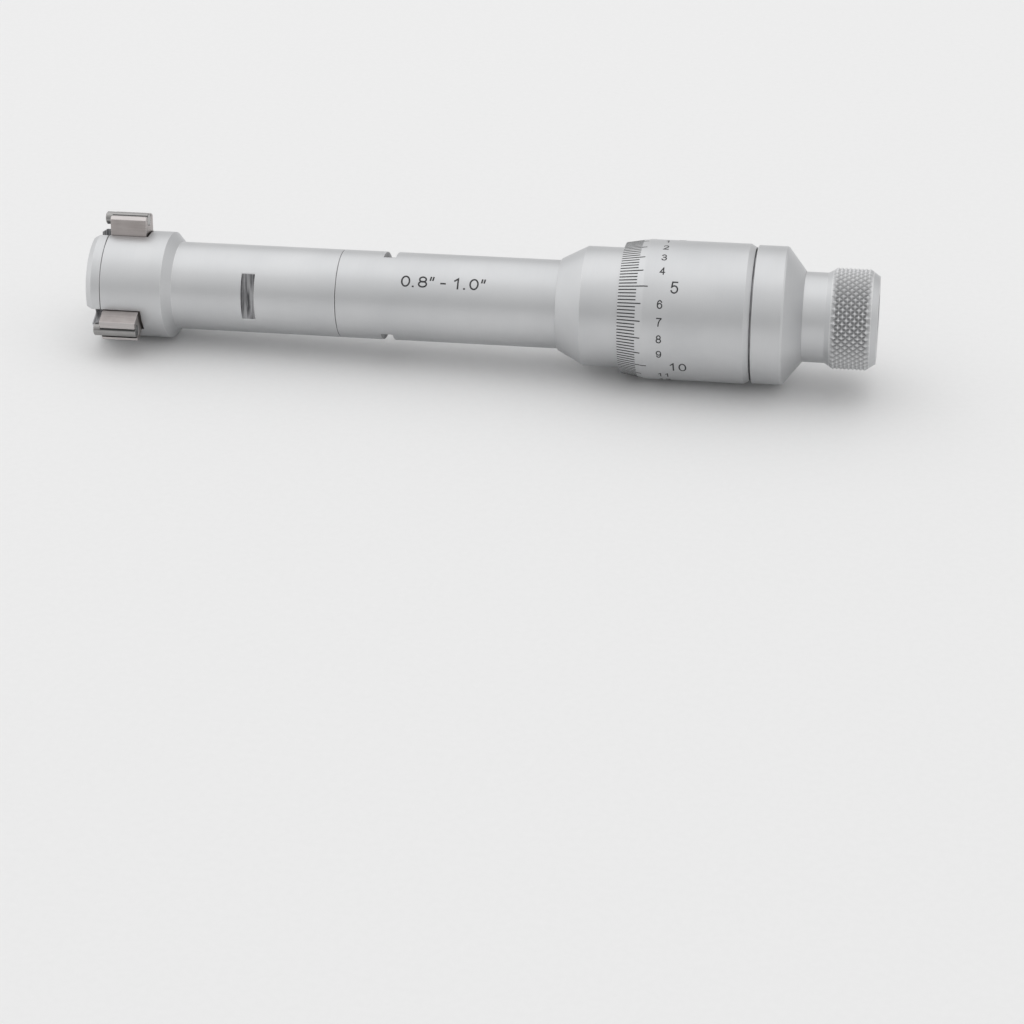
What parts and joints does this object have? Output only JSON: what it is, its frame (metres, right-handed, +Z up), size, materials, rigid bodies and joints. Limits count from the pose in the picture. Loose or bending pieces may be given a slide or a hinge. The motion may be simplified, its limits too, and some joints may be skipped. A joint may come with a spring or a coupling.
{
  "type": "inside micrometer",
  "caption": "Three-point inside micrometer: a round head whose anvils are spread by a cone, a long tube, a graduated thimble and a knurled ratchet knob.",
  "frame": {"origin": "centre of the end cap's front face, on the instrument's axis", "axes": "+X along the instrument from the end cap to the ratchet knob, +Z up with the instrument lying on its side, the reader on the -Y side"},
  "size_m": [0.1361, 0.024, 0.0244],
  "materials": {
    "satin_chrome": "satin",
    "knurled_chrome": "satin knurl",
    "ground_steel": "ground",
    "carbide": "lapped",
    "bare_steel": "ground",
    "dark_steel": "blackened",
    "spring_steel": "drawn",
    "bronze": "turned"
  },
  "bodies": {
    "frame": {"head_body": "satin_chrome", "end_cap": "satin_chrome", "end_cap_screws": "dark_steel", "guide_bush": "bronze", "retraction_ring": "spring_steel", "return_spring": "spring_steel", "body_tube": "satin_chrome", "sleeve": "satin_chrome", "spindle_nut": "bronze", "adjusting_nut": "bare_steel"},
    "cone": {"measuring_cone": "bare_steel", "push_rod": "bare_steel", "rod_collar": "bare_steel"},
    "thimble": {"spindle": "bare_steel", "spindle_ball": "bare_steel", "thimble": "satin_chrome", "rear_cap": "satin_chrome", "ratchet_stem": "bare_steel", "ratchet_screw": "dark_steel"},
    "ratchet": {"ratchet_driver": "bare_steel", "ratchet_spring": "spring_steel", "ratchet_knob": "knurled_chrome"},
    "anvil_a": {"anvil_a": "ground_steel", "tip_a": "carbide"},
    "anvil_b": {"anvil_b": "ground_steel", "tip_b": "carbide"},
    "anvil_c": {"anvil_c": "ground_steel", "tip_c": "carbide"}
  },
  "joints": [
    {"name": "cone_advance", "type": "slide", "parent": "frame", "child": "cone", "axis": [1, 0, 0], "range_m": [-0.00011, 0.00497], "deforming": ["return_spring"]},
    {"name": "thimble_turn", "type": "hinge", "parent": "cone", "child": "thimble", "pos_m": [0.1, 0, 0], "axis": [1, 0, 0], "range_deg": [-64.9, 2815.3]},
    {"name": "ratchet_turn", "type": "hinge", "parent": "thimble", "child": "ratchet", "pos_m": [0.13, 0, 0], "axis": [1, 0, 0], "continuous": true},
    {"name": "anvil_a_slide", "type": "slide", "parent": "frame", "child": "anvil_a", "axis": [0, 0.165, 0.9863], "range_m": [-0.00248, 0.00006], "deforming": ["retraction_ring"]},
    {"name": "anvil_b_slide", "type": "slide", "parent": "frame", "child": "anvil_b", "axis": [0, -0.9367, -0.3502], "range_m": [-0.00248, 0.00006]},
    {"name": "anvil_c_slide", "type": "slide", "parent": "frame", "child": "anvil_c", "axis": [0, 0.7716, -0.6361], "range_m": [-0.00248, 0.00006]}
  ],
  "couplings": [
    {"joint": "thimble_turn", "follows": "cone_advance", "rad_per_m": 9894.8},
    {"joint": "anvil_a_slide", "follows": "cone_advance", "ratio": -0.5},
    {"joint": "anvil_b_slide", "follows": "cone_advance", "ratio": -0.5},
    {"joint": "anvil_c_slide", "follows": "cone_advance", "ratio": -0.5}
  ]
}
